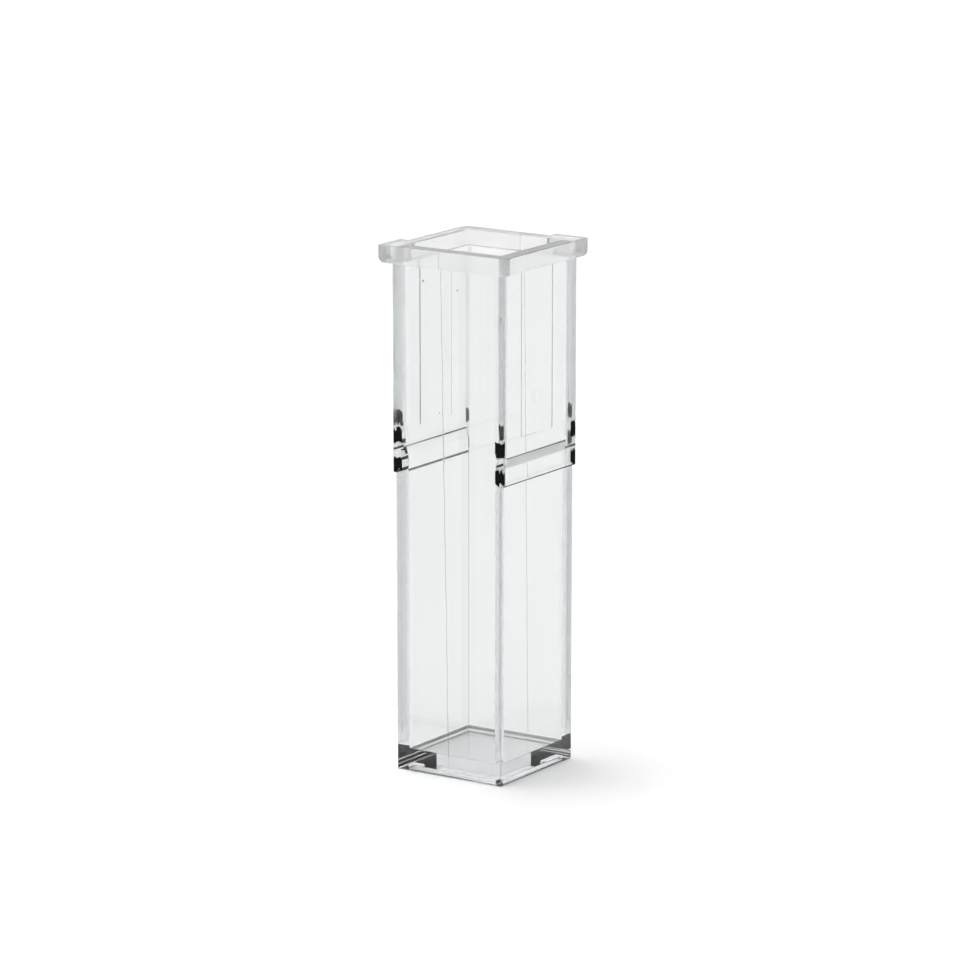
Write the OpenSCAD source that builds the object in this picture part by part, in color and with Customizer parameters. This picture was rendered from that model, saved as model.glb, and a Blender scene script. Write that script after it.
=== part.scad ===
// Disposable spectrometer cuvette: one clear moulding with four windows, a collar and two lugs.
// The axis of the cuvette is Z, its foot stands on Z = 0 and its mouth faces up.
// X crosses the two walls that jog inward part way down, Y crosses the two plain walls.

/* [Body] */
// Overall height, foot to rim
height = 50; // [40:0.5:60]
// Outer width across the jogged walls, at the mouth
body_w = 12.4; // [11.5:0.1:14]
// Outer width across the plain walls, at the mouth
body_d = 12.2; // [11.5:0.1:14]
// Draft of the outer faces, on each side over the whole height
outer_draft = 0.06; // [0:0.01:0.2]

/* [Cavity] */
// Thickness of the jogged walls
jog_wall = 1.0; // [0.7:0.05:1.6]
// Thickness of the plain walls
plain_wall = 1.05; // [0.7:0.05:1.6]
// Draft of the inner faces, on each side over the whole height
inner_draft = 0.05; // [0:0.01:0.2]
// Thickness of the base plate under the liquid
base_plate = 1.55; // [0.8:0.05:3]

/* [Jog] */
// How far the two jogged walls step inward
jog_depth = 0.32; // [0.2:0.01:0.4]
// Height of the outer step above the foot
jog_z = 28.6; // [20:0.1:32]
// From the outer step up to the foot of the inner ramp
jog_land = 1.5; // [1:0.1:3]
// Height of the inner ramp
jog_ramp = 1.0; // [0.6:0.1:3]
// Depth of the slanted ledge that starts the inner ramp, out of the jog's own depth
jog_ledge = 0.08; // [0.05:0.01:0.18]

/* [Wall panels] */
// Width of the shallow raised panel inside each jogged wall
panel_w = 5.2; // [3:0.1:8]
// How far a panel stands off its wall
panel_rise = 0.04; // [0.02:0.01:0.1]
// From the top of the inner ramp up to the panel's lower end
panel_gap = 1.6; // [0.5:0.1:3]

/* [Collar] */
// Height of the collar round the mouth
collar_h = 1.65; // [1.2:0.05:3]
// How far the collar stands proud of the body
collar_out = 0.38; // [0.2:0.01:0.8]
// Radius of the collar's upright corners
collar_r = 0.95; // [0.3:0.05:1.2]

/* [Lugs] */
// How far a lug reaches past the collar
lug_out = 0.95; // [0.5:0.05:2]
// Length of a lug along its side of the collar
lug_len = 3.6; // [2:0.1:5]
// Height of a lug
lug_h = 1.65; // [1:0.05:3]
// Radius of a lug's lower outer edge
lug_r = 0.6; // [0.2:0.05:0.9]

/* [Foot] */
// Depth of the recess under the base plate
foot_h = 0.45; // [0.3:0.05:1.5]
// Width of the rim that the cuvette stands on
foot_w = 0.9; // [0.5:0.05:2]

/* [Hidden] */
$fn = 48;
over = 1; // how far a cutter runs past what it cuts
half_w = body_w / 2;
half_d = body_d / 2;
floor_z = foot_h + base_plate;
ramp_foot_z = jog_z + jog_land;
ramp_top_z = ramp_foot_z + jog_ramp;
ledge_z = ramp_top_z - jog_ledge;
panel_z = ramp_top_z + panel_gap;
collar_z = height - collar_h;
collar_half_w = half_w + collar_out;
collar_half_d = half_d + collar_out;

// Half widths at a height: the outer faces lean in towards the foot, and the inner faces follow
function outer_lean(z) = outer_draft * (height - z) / height;
function inner_lean(z) = inner_draft * (height - z) / height;
function outer_x(z) = half_w - outer_lean(z);
function outer_y(z) = half_d - outer_lean(z);
function inner_x(z) = half_w - jog_wall - inner_lean(z);
function inner_y(z) = half_d - plain_wall - inner_lean(z);

// A closed outline from the right-hand half of its profile, given from low to high
function mirrored(pts) = concat(pts, [for (i = [len(pts) - 1 : -1 : 0]) [-pts[i][0], pts[i][1]]]);

// A profile in X and Z, run along Y
module along_y(pts, length) {
    rotate([90, 0, 0])
        linear_extrude(height = length, center = true)
            polygon(pts);
}

// A profile in Y and Z, run along X
module along_x(pts, length) {
    rotate([90, 0, 90])
        linear_extrude(height = length, center = true)
            polygon(pts);
}

// The outer block: one profile gives the jogged walls and the other gives the plain ones
module outer_block() {
    intersection() {
        along_y(mirrored([
            [outer_x(0) - jog_depth, 0],
            [outer_x(jog_z) - jog_depth, jog_z],
            [outer_x(jog_z), jog_z],
            [outer_x(height), height]
        ]), body_d + 2 * over);
        along_x(mirrored([
            [outer_y(0), 0],
            [outer_y(height), height]
        ]), body_w + 2 * over);
    }
}

// The space for the liquid, open at the mouth
module cavity() {
    top_z = height + over;
    intersection() {
        along_y(mirrored([
            [inner_x(floor_z) - jog_depth, floor_z],
            [inner_x(ramp_foot_z) - jog_depth, ramp_foot_z],
            [inner_x(ledge_z) - jog_ledge, ledge_z],
            [inner_x(ramp_top_z), ramp_top_z],
            [inner_x(top_z), top_z]
        ]), body_d + 2 * over);
        along_x(mirrored([
            [inner_y(floor_z), floor_z],
            [inner_y(top_z), top_z]
        ]), body_w + 2 * over);
    }
}

// A shallow panel that stays on the inside of each jogged wall, from above the ramp to the collar
module panels() {
    for (side = [-1, 1])
        intersection() {
            along_y([
                [side * (inner_x(panel_z) + jog_wall / 2), panel_z],
                [side * (inner_x(panel_z) - panel_rise), panel_z],
                [side * (inner_x(collar_z) - panel_rise), collar_z],
                [side * (inner_x(collar_z) + jog_wall / 2), collar_z]
            ], panel_w);
            cube([body_w, body_d, 2 * height], center = true);
        }
}

// A rectangle with round corners, as two bars and four discs
module round_rect(half_x, half_y, r) {
    square([2 * half_x - 2 * r, 2 * half_y], center = true);
    square([2 * half_x, 2 * half_y - 2 * r], center = true);
    for (sx = [-1, 1], sy = [-1, 1])
        translate([sx * (half_x - r), sy * (half_y - r)])
            circle(r);
}

module collar() {
    translate([0, 0, collar_z])
        linear_extrude(height = collar_h)
            round_rect(collar_half_w, collar_half_d, collar_r);
}

// A lug in section: flat on top, its lower outer edge rounded; its root lies inside the collar
module lug_section(root) {
    difference() {
        translate([-root, -lug_h])
            square([root + lug_out, lug_h]);
        difference() {
            translate([lug_out - lug_r, -lug_h - over])
                square([lug_r + over, lug_r + over]);
            translate([lug_out - lug_r, lug_r - lug_h])
                circle(lug_r);
        }
    }
}

// One lug reaches out in -X at the (-X, -Y) corner, the other in +Y at the (+X, +Y) corner;
// each starts where the collar's round corner does, so that their end faces run on
module lugs() {
    translate([-collar_half_w, -collar_half_d, height])
        mirror([1, 0, 0])
            rotate([90, 0, 0])
                mirror([0, 0, 1])
                    linear_extrude(height = lug_len)
                        lug_section(collar_r);
    translate([collar_half_w, collar_half_d, height])
        rotate([90, 0, 90])
            mirror([0, 0, 1])
                linear_extrude(height = lug_len)
                    lug_section(collar_r);
}

// The recess under the base plate leaves a rim all round to stand on
module foot_recess() {
    half_x = outer_x(0) - jog_depth - foot_w;
    half_y = outer_y(0) - foot_w;
    translate([-half_x, -half_y, -over])
        cube([2 * half_x, 2 * half_y, foot_h + over]);
}

module cuvette() {
    color([0.93, 0.95, 0.96, 0.45]) {
        difference() {
            union() {
                outer_block();
                collar();
                lugs();
            }
            cavity();
            foot_recess();
        }
        panels();
    }
}

cuvette();
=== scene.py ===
import math

import bmesh
import bpy
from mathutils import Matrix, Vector


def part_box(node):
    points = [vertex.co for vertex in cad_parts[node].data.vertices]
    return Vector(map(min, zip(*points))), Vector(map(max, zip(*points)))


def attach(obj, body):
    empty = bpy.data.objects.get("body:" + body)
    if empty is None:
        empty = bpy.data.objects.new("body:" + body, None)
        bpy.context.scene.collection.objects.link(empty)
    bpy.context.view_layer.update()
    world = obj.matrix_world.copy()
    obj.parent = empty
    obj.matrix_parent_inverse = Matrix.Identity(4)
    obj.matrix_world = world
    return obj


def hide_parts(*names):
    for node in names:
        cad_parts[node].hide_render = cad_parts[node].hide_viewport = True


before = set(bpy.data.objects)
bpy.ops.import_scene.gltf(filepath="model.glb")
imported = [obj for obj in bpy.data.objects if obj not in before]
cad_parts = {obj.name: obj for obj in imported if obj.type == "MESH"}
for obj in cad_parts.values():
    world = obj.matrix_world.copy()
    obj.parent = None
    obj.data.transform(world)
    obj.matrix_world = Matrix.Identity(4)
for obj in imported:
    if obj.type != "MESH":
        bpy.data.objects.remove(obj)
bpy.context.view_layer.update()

mm = 0.001
lowCorner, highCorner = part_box("cuvette")
middle = (lowCorner + highCorner) / 2
scene = bpy.context.scene
print("frame loaded: the cuvette is", round((highCorner.z - lowCorner.z) / mm, 1), "mm tall")


class Wire:  # one socket, so that shader maths reads as plain expressions
    def __init__(self, shader, socket):
        self.shader = shader
        self.socket = socket

    def maths(self, operation, first, second=0.0, third=0.0):
        return self.shader.add("ShaderNodeMath", {"operation": operation}, {0: first, 1: second, 2: third})

    def __add__(self, other):
        return self.maths("ADD", self, other)

    def __sub__(self, other):
        return self.maths("SUBTRACT", self, other)

    def __rsub__(self, other):
        return self.maths("SUBTRACT", other, self)

    def __mul__(self, other):
        return self.maths("MULTIPLY", self, other)

    def __truediv__(self, other):
        return self.maths("DIVIDE", self, other)

    def __pow__(self, other):
        return self.maths("POWER", self, other)

    def __abs__(self):
        return self.maths("ABSOLUTE", self)

    __radd__ = __add__
    __rmul__ = __mul__

    def within(self, reach, soft):  # 1 where the value is under reach, fading to 0 over soft
        return self.shader.add("ShaderNodeMapRange", {"interpolation_type": "SMOOTHSTEP"},
                               {0: self, 1: reach, 2: reach + soft, 3: 1.0, 4: 0.0})

    def over(self, start, soft):  # 0 up to start, rising to 1 over soft
        return 1 - self.within(start, soft)


class Shader:  # the node tree of a material, a light or the world
    def __init__(self, owner):
        owner.use_nodes = True
        self.tree = owner.node_tree
        self.tree.nodes.clear()

    def add(self, kind, settings=None, sockets=None, out=0):
        node = self.tree.nodes.new(kind)
        for name, value in (settings or {}).items():
            setattr(node, name, value)
        for name, value in (sockets or {}).items():
            if isinstance(value, Wire):
                self.tree.links.new(value.socket, node.inputs[name])
            else:
                node.inputs[name].default_value = value
        return Wire(self, node.outputs[out]) if node.outputs else None

    def blend(self, factor, first, second):
        return self.add("ShaderNodeMix", {"data_type": "RGBA"}, {0: factor, 6: first, 7: second}, out=2)

    def mixed(self, factor, first, second):
        return self.add("ShaderNodeMixShader", sockets={0: factor, 1: first, 2: second})

    def parts(self, vector):
        split = self.add("ShaderNodeSeparateXYZ", sockets={0: vector}).socket.node
        return [Wire(self, socket) for socket in split.outputs]

    def join(self, x, y, z):
        return self.add("ShaderNodeCombineXYZ", sockets={0: x, 1: y, 2: z})

    def noise(self, place, stretch, scale, detail=2.0):
        shape = self.add("ShaderNodeMapping", sockets={"Vector": place, "Scale": stretch})
        return self.add("ShaderNodeTexNoise", sockets={"Vector": shape, "Scale": scale, "Detail": detail})


# the camera
view = {
    "azimuth": 33.7,  # degrees round from the front
    "elevation": 12.65,
    "distance": 500 * mm,
    "lens": 200.8,
    "sidestep": -0.44 * mm,  # the aim, to the right of the middle and above it
    "lift": 2.45 * mm,
}


def makeCamera(settings):
    turn, tilt = math.radians(settings["azimuth"]), math.radians(settings["elevation"])
    back = Vector((math.sin(turn) * math.cos(tilt), -math.cos(turn) * math.cos(tilt), math.sin(tilt)))
    right = Vector((math.cos(turn), math.sin(turn), 0))
    axis = Vector((0, 0, middle.z))
    aim = axis + right * settings["sidestep"] + Vector((0, 0, settings["lift"]))
    camera = bpy.data.objects.new("camera", bpy.data.cameras.new("camera"))
    scene.collection.objects.link(camera)
    camera.data.lens = settings["lens"]
    camera.data.clip_start = 10 * mm
    camera.data.clip_end = 10
    camera.location = aim + back * settings["distance"]
    camera.rotation_mode = "QUATERNION"
    camera.rotation_quaternion = back.to_track_quat("Z", "Y")
    scene.camera = camera
    return camera


makeCamera(view)
print("camera set")


# where the moulding's features lie; change these with the CAD
moulding = {
    "recess": 0.45 * mm,  # heights above the foot
    "baseTop": 2.0 * mm,
    "step": 28.6 * mm,
    "ramp": 30.1 * mm,
    "ledge": (31.02 * mm, 31.1 * mm),
    "panel": 32.7 * mm,
    "collar": 48.35 * mm,
    "panelHalf": 2.6 * mm,
    "insideOf": 5.5 * mm,  # nearer the axis than this, both ways, lies the cavity or the recess
    "lugPast": 6.62 * mm,  # further out than this, in -X or +Y, lies a lug
}

# the cuvette: the moulding with its edges broken
shell = {
    "flat": 0.4,  # degrees: faces closer than this are one face
    "curve": 20.0,  # degrees: edges gentler than this lie on a curve, and stay
    "rampTurn": 5.0,  # degrees: but the ramp's own edges turn this little
    "segments": 3,
    "weld": 0.001 * mm,  # points closer than this are one point
    "flatWeight": 100,  # how strongly the large faces set the shading of their edges
    "radius": {  # of each kind of edge
        "upright": 0.07 * mm,
        "cavityUpright": 0.06 * mm,
        "cavityFloor": 0.05 * mm,
        "rimOuter": 0.12 * mm,
        "rimInner": 0.12 * mm,
        "underCollar": 0.03 * mm,
        "jog": 0.06 * mm,
        "ramp": 0.12 * mm,
        "ledge": 0.03 * mm,
        "panel": 0.015 * mm,
        "foot": 0.12 * mm,
        "recess": 0.06 * mm,
        "lug": 0.08 * mm,
    },
}


def near(value, target):
    slack = 0.03 * mm
    return abs(value - target) < slack


def kindOfEdge(edge, settings):  # which of the radii an edge gets, or none
    turn = math.degrees(edge.calc_face_angle(0))
    start, end = (vert.co for vert in edge.verts)
    spot = (start + end) / 2
    upright = abs(end.z - start.z) > 0.5 * (end - start).length
    if not upright and near(spot.z, moulding["ramp"]):
        return "ramp" if turn > settings["rampTurn"] else None
    if not upright and any(near(spot.z, height) for height in moulding["ledge"]):
        return "ledge" if turn > settings["rampTurn"] else None
    if turn < settings["curve"]:
        return None
    if spot.x < -moulding["lugPast"] or spot.y > moulding["lugPast"]:
        return "lug"
    inside = max(abs(spot.x), abs(spot.y)) < moulding["insideOf"]
    if upright:
        if spot.z < moulding["recess"]:
            return "recess"
        if spot.z > moulding["collar"]:
            return "cavityUpright" if inside else None
        if inside:
            return "panel" if near(abs(spot.y), moulding["panelHalf"]) else "cavityUpright"
        return "upright"
    if near(spot.z, highCorner.z):
        return "rimInner" if inside else "rimOuter"
    if near(spot.z, moulding["baseTop"]):
        return "cavityFloor"
    if near(spot.z, moulding["step"]):
        return "jog"
    if near(spot.z, 0):
        return "recess" if inside else "foot"
    if near(spot.z, moulding["recess"]):
        return "recess"
    if inside:
        return "panel" if near(abs(end.y - start.y), 2 * moulding["panelHalf"]) else None
    return "underCollar"


def makeShell(name, settings):
    mesh = bmesh.new()
    mesh.from_mesh(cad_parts["cuvette"].data)
    bmesh.ops.remove_doubles(mesh, verts=mesh.verts, dist=settings["weld"])
    bmesh.ops.dissolve_limit(mesh, angle_limit=math.radians(settings["flat"]),
                             verts=mesh.verts, edges=mesh.edges)
    widest = max(settings["radius"].values())
    weight = mesh.edges.layers.float.new("bevel_weight_edge")
    counts = {}
    for face in mesh.faces:
        face.smooth = True
    for edge in mesh.edges:
        kind = kindOfEdge(edge, settings)
        if kind:
            edge[weight] = settings["radius"][kind] / widest
            counts[kind] = counts.get(kind, 0) + 1
        elif edge.calc_face_angle(0) > math.radians(settings["curve"]):
            edge.smooth = False
    data = bpy.data.meshes.new(name)
    mesh.to_mesh(data)
    mesh.free()
    piece = bpy.data.objects.new(name, data)
    scene.collection.objects.link(piece)
    breaks = piece.modifiers.new("broken edges", "BEVEL")
    breaks.limit_method = "WEIGHT"
    breaks.width = widest
    breaks.segments = settings["segments"]
    breaks.use_clamp_overlap = False
    flats = piece.modifiers.new("flat faces", "WEIGHTED_NORMAL")
    flats.mode = "FACE_AREA"
    flats.weight = settings["flatWeight"]
    flats.keep_sharp = True
    print("shell made, edges broken:", counts)
    return piece


# clear polystyrene: polished walls, a frosted collar, the marks of moulding and use, and painted shade on
# the wall ends, the lugs and the jog
clear = {
    "ior": 1.59,
    "soft": 0.05 * mm,  # the fade at the edge of each marked place
    "density": 100.0,  # 10 mm along a wall is visibly grey
    "absorbs": (0.76, 0.78, 0.79, 1.0),
    "outerFace": 5.9 * mm,  # past this, a point is on an outer face
    "narrowFace": 5.75 * mm,  # the same, below the step
    "mouth": (5.3 * mm, 5.2 * mm),  # the cavity's half size, which stays polished
    "tint": (0.925, 0.927, 0.928, 1.0),  # of the walls, and how far it clouds over
    "cloud": (0.900, 0.904, 0.907, 1.0),
    "baseTint": (0.995, 0.996, 0.997, 1.0),  # of the base plate and the collar
    "paintedEndShade": (0.30, 0.31, 0.31, 1.0),  # painted shade on the ends of the walls, beside the uprights, where the clear walls look dark
    "endFrom": 5.15 * mm,
    "paintedShadeRight": 0.16,  # how much of the painted shade lies towards +X, and towards +Y
    "paintedShadeRear": 0.44,
    # how far the lugs are darkened with the painted end shade
    "lugPaintedShade": 0.5,
    "speckShade": (0.10, 0.10, 0.10, 1.0),
}
finish = {
    "gloss": 0.0,  # roughness of the polished faces, and what clouds and scuffs add
    "smear": 0.012,
    "scuff": 0.08,
    "smearFrom": 0.55,
    "smearSoft": 0.2,
    "cloudScale": 180.0,
    "waveScale": 160.0,
    "waveDepth": 0.0006 * mm,
    "frost": 0.15,  # roughness of the collar and lugs outside, and of their grain
    "grain": 0.06,
    "grainScale": 2600.0,
    "frostAbove": 48.2 * mm,
    "veil": 0.23,  # how far the frosting scatters light instead of bending it
    "veilPasses": 0.35,  # the share of that light that goes on through
    "veilShade": (0.97, 0.97, 0.97, 1.0),
}
scuffing = {
    "from": 31.0 * mm,  # the scuffed stretch of the windows
    "to": 45.0 * mm,
    "soft": 2 * mm,
    "scale": 900.0,
    "half": 0.03,
    "patchScale": 260.0,
    "patchFrom": 0.52,
    "patchSoft": 0.12,
    "depth": 0.0016 * mm,
}
seam = {  # the weld lines and the sides of the panels
    "front": (0.0 * mm, -0.0165),  # a weld line starts here at the foot, and leans so much
    "back": (0.66 * mm, -0.012),
    "half": 0.07 * mm,
    "rise": 0.012 * mm,
    "wander": 0.25 * mm,
    "wanderScale": 220.0,
    "weldStrength": 0.8,
    "panelHalf": 0.05 * mm,
    "panelSoft": 0.03 * mm,
    "panelFace": 4.9 * mm,  # past this lie the inner faces of the jogged walls
    "shade": (0.16, 0.16, 0.17, 1.0),
}
speckPlaces = [  # across, up and radius of the specks in the front face
    (-2.75 * mm, 47.0 * mm, 0.14 * mm),
    (1.04 * mm, 46.5 * mm, 0.11 * mm),
    (-0.95 * mm, 34.8 * mm, 0.08 * mm),
    (5.83 * mm, 44.3 * mm, 0.17 * mm),
    (2.1 * mm, 20.5 * mm, 0.06 * mm),
]
jogLine = {  # a painted stand-in for the light that the step and the ledge trap in the walls
    "shade": (0.012, 0.012, 0.013, 1.0),
    "soft": 0.03 * mm,
    "stepRise": 0.03 * mm,  # the line's middle above the step, and half its height
    "stepHalf": 0.07 * mm,
    "stepReach": 6.0 * mm,
    "ledgeStrength": 0.28,
    "bands": [(28.75 * mm, 30.0 * mm), (31.4 * mm, 32.7 * mm)],  # in the ends of the walls
    "ragged": 1.5 * mm,
    "raggedScale": 2600.0,
}


def inMouth(place):  # 1 on the cavity's faces
    across, deep, up = place
    mouthX, mouthY = clear["mouth"]
    return abs(across).within(mouthX, clear["soft"]) * abs(deep).within(mouthY, clear["soft"])


def frosting(place):  # 1 on the outside of the collar and lugs
    across, deep, up = place
    mouthX, mouthY = clear["mouth"]
    outside = abs(across).over(mouthX, clear["soft"]) + abs(deep).over(mouthY, clear["soft"])
    return (1 - outside.within(0.5, 0.4)) * up.over(finish["frostAbove"], clear["soft"])


def weldLine(shader, place, line):
    across, deep, up = place
    start, lean = line
    drift = shader.noise(shader.join(0.0, 0.0, up), (1.0, 1.0, 1.0), seam["wanderScale"]) - 0.5
    offset = across - start - up * lean - drift * seam["wander"]
    return abs(offset).within(0.0, seam["half"])


def weldLines(shader, place):  # down the middle of the front and back faces
    across, deep, up = place
    front = (deep * -1).over(clear["outerFace"], clear["soft"])
    back = deep.over(clear["outerFace"], clear["soft"])
    return weldLine(shader, place, seam["front"]) * front + weldLine(shader, place, seam["back"]) * back


def specks(place):
    across, deep, up = place
    found = 0.0
    for x, z, radius in speckPlaces:
        away = ((across - x) ** 2.0 + (up - z) ** 2.0) ** 0.5
        found = found + away.within(0.6 * radius, 0.4 * radius)
    return found * (deep * -1).over(clear["outerFace"], clear["soft"])


def scuffs(shader, point, place, settings):  # fine scratches, in patches, on the jogged walls
    across, deep, up = place
    scratches = shader.noise(point, (3.0, 3.0, 1.0), settings["scale"], 4.0)
    patch = shader.noise(point, (1.0, 1.0, 1.0), settings["patchScale"])
    patch = patch.over(settings["patchFrom"], settings["patchSoft"])
    tall = up.over(settings["from"], settings["soft"]) * up.within(settings["to"], settings["soft"])
    side = abs(across).over(clear["outerFace"] - clear["soft"], clear["soft"])
    return abs(scratches - 0.5).within(0.0, settings["half"]) * patch * tall * side


def panelSides(place):
    across, deep, up = place
    soft = clear["soft"]
    side = abs(abs(deep) - moulding["panelHalf"]).within(seam["panelHalf"], seam["panelSoft"])
    tall = up.over(moulding["panel"], soft) * up.within(finish["frostAbove"], soft)
    face = abs(across).over(seam["panelFace"], soft) * abs(across).within(clear["mouth"][0], soft)
    return side * tall * face


def wallEnds(place):  # 1 where an outer face covers the end of a wall
    across, deep, up = place
    soft = clear["soft"]
    onY = abs(deep).over(clear["outerFace"], soft) * abs(across).over(clear["endFrom"], soft)
    onX = across.over(clear["narrowFace"], soft) * deep.over(clear["endFrom"], soft)
    return onY + onX * (1 - onY)


def wallColourAndPaintedShade(shader, place, cloud, weld, speck):
    across, deep, up = place
    soft = clear["soft"]
    colour = shader.blend(cloud, clear["tint"], clear["cloud"])
    colour = shader.blend(up.within(moulding["baseTop"], soft), colour, clear["baseTint"])
    walls = up.over(moulding["baseTop"], soft)
    # painted shade on the ends of the walls, darker towards +X and towards +Y
    paintedEndDepth = across.over(0.0, soft) * clear["paintedShadeRight"] + deep.over(0.0, soft) * clear["paintedShadeRear"]
    colour = shader.blend(wallEnds(place) * paintedEndDepth * walls, colour, clear["paintedEndShade"])
    colour = shader.blend(frosting(place), colour, clear["baseTint"])
    # painted shade on the lugs, in the grey of the wall ends
    lug = (across * -1).over(moulding["lugPast"], soft) + deep.over(moulding["lugPast"], soft)
    colour = shader.blend(lug * clear["lugPaintedShade"], colour, clear["paintedEndShade"])
    seams = weld * seam["weldStrength"] * walls + panelSides(place)
    colour = shader.blend(seams, colour, seam["shade"])
    return shader.blend(speck, colour, clear["speckShade"])


def jogMask(shader, point, place, settings):  # the step's line, the ledge's line and the bands
    across, deep, up = place
    soft, thin = clear["soft"], settings["soft"]
    low, high = moulding["ledge"]
    inner = inMouth(place)
    step = abs(up - moulding["step"] - settings["stepRise"]).within(settings["stepHalf"], thin)
    step = step * abs(across).over(clear["narrowFace"], soft) * abs(deep).within(settings["stepReach"], soft)
    ledge = abs(up - (low + high) / 2).within((high - low) / 2, thin)
    ledge = inner * ledge * abs(across).over(seam["panelFace"], soft) * settings["ledgeStrength"]
    ragged = shader.noise(point, (1.0, 1.0, 0.5), settings["raggedScale"], 3.0) - 0.5
    height = up + ragged * settings["ragged"]
    bands = 0.0
    for start, end in settings["bands"]:
        bands = bands + height.over(start, soft) * height.within(end, soft)
    return (1 - inner) * step + ledge + wallEnds(place) * bands


def clearPolystyrene():
    material = bpy.data.materials.new("clear polystyrene")
    shader = Shader(material)
    point = shader.add("ShaderNodeTexCoord", out="Object")
    place = shader.parts(point)
    frosted = frosting(place)
    weld = weldLines(shader, place)
    speck = specks(place)
    scuff = scuffs(shader, point, place, scuffing)
    wave = shader.noise(point, (1.0, 1.0, 0.35), finish["waveScale"])
    cloud = shader.noise(point, (1.0, 1.0, 0.4), finish["cloudScale"])
    grain = shader.noise(point, (1.0, 1.0, 1.0), finish["grainScale"])

    height = (weld + speck) * seam["rise"] + wave * finish["waveDepth"] + scuff * scuffing["depth"]
    relief = shader.add("ShaderNodeBump", sockets={"Strength": 1.0, "Distance": 1.0, "Height": height})
    polished = finish["gloss"] + cloud.over(finish["smearFrom"], finish["smearSoft"]) * finish["smear"]
    polished = polished + scuff * finish["scuff"]
    roughness = polished * (1 - frosted) + frosted * (finish["frost"] + grain * finish["grain"])
    plastic = shader.add("ShaderNodeBsdfPrincipled", sockets={
        "Base Color": wallColourAndPaintedShade(shader, place, cloud, weld, speck),
        "Roughness": roughness,
        "IOR": clear["ior"],
        "Transmission Weight": 1.0,
        "Normal": relief,
    })
    scattered = shader.add("ShaderNodeBsdfDiffuse", sockets={"Color": finish["veilShade"]})
    passed = shader.add("ShaderNodeBsdfTranslucent", sockets={"Color": finish["veilShade"]})
    veil = shader.mixed(finish["veilPasses"], scattered, passed)
    plastic = shader.mixed(frosted * finish["veil"], plastic, veil)
    dark = shader.add("ShaderNodeBsdfDiffuse", sockets={"Color": jogLine["shade"]})
    plastic = shader.mixed(jogMask(shader, point, place, jogLine), plastic, dark)
    body = shader.add("ShaderNodeVolumeAbsorption", sockets={
        "Color": clear["absorbs"],
        "Density": clear["density"],
    })
    shader.add("ShaderNodeOutputMaterial", sockets={"Surface": plastic, "Volume": body})
    return material


cuvette = makeShell("clear_cuvette", shell)
cuvette.data.materials.append(clearPolystyrene())
print("clear polystyrene made")
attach(cuvette, "root")
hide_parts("cuvette")


# the floor and the light
floor = {
    "reach": 3.0,  # metres
    "sides": 96,
    "white": (0.90, 0.90, 0.90, 1.0),
}
studio = {
    "white": (1.0, 1.0, 1.0, 1.0),
    "light": 0.95,
    "lampLight": 15.0,  # a soft lamp almost overhead, behind the cuvette and to its left
    "lampTurn": 68.0,  # degrees round from straight behind, as the camera sees it
    "lampHeight": 82.0,
    "lampReach": 13.0,
    "lampSoft": 0.2,  # of the softness below
    "backdropTurn": view["azimuth"],  # degrees: the lit backdrop stands opposite the camera
    "backdropReach": 52.0,  # degrees to each side, and the rest of the room is dark
    "darkLow": 6.0,  # degrees above the floor
    "darkHigh": 40.0,
    "soft": 4.0,
}


def makeFloor(settings):
    mesh = bmesh.new()
    bmesh.ops.create_circle(mesh, cap_ends=True, segments=settings["sides"], radius=settings["reach"])
    data = bpy.data.meshes.new("floor")
    mesh.to_mesh(data)
    mesh.free()
    piece = bpy.data.objects.new("floor", data)
    scene.collection.objects.link(piece)
    material = bpy.data.materials.new("white floor")
    shader = Shader(material)
    surface = shader.add("ShaderNodeBsdfDiffuse", sockets={"Color": settings["white"]})
    shader.add("ShaderNodeOutputMaterial", sockets={"Surface": surface})
    data.materials.append(material)


def makeStudio(settings):
    world = bpy.data.worlds.new("soft studio")
    scene.world = world
    shader = Shader(world)
    x, y, z = shader.parts(shader.add("ShaderNodeTexCoord", out="Generated"))
    level = (x * x + y * y) ** 0.5 + 0.0001  # never nothing, even straight up
    turn = math.radians(settings["backdropTurn"])
    facing = (y * math.cos(turn) - x * math.sin(turn)) / level
    soft = math.radians(settings["soft"])
    away = facing.within(math.cos(math.radians(settings["backdropReach"])), 2 * soft)
    low = math.sin(math.radians(settings["darkLow"]))
    high = math.sin(math.radians(settings["darkHigh"]))
    dark = away * z.over(low, soft) * z.within(high, soft)
    lampTurn = math.radians(settings["backdropTurn"] + settings["lampTurn"])
    lampHeight = math.radians(settings["lampHeight"])
    lampX = -math.sin(lampTurn) * math.cos(lampHeight)
    lampY = math.cos(lampTurn) * math.cos(lampHeight)
    towards = x * lampX + y * lampY + z * math.sin(lampHeight)
    lamp = towards.over(math.cos(math.radians(settings["lampReach"])), settings["lampSoft"] * soft)
    strength = (1 - dark) * settings["light"] + lamp * settings["lampLight"]
    surface = shader.add("ShaderNodeBackground", sockets={
        "Color": settings["white"],
        "Strength": strength,
    })
    shader.add("ShaderNodeOutputWorld", sockets={"Surface": surface})


makeFloor(floor)
makeStudio(studio)
scene.view_settings.view_transform = "Standard"
scene.cycles.max_bounces = 32  # light runs a long way inside the clear walls
scene.cycles.transmission_bounces = 32
scene.cycles.glossy_bounces = 32
scene.cycles.diffuse_bounces = 4
scene.cycles.blur_glossy = 0.0
print("floor and light set")
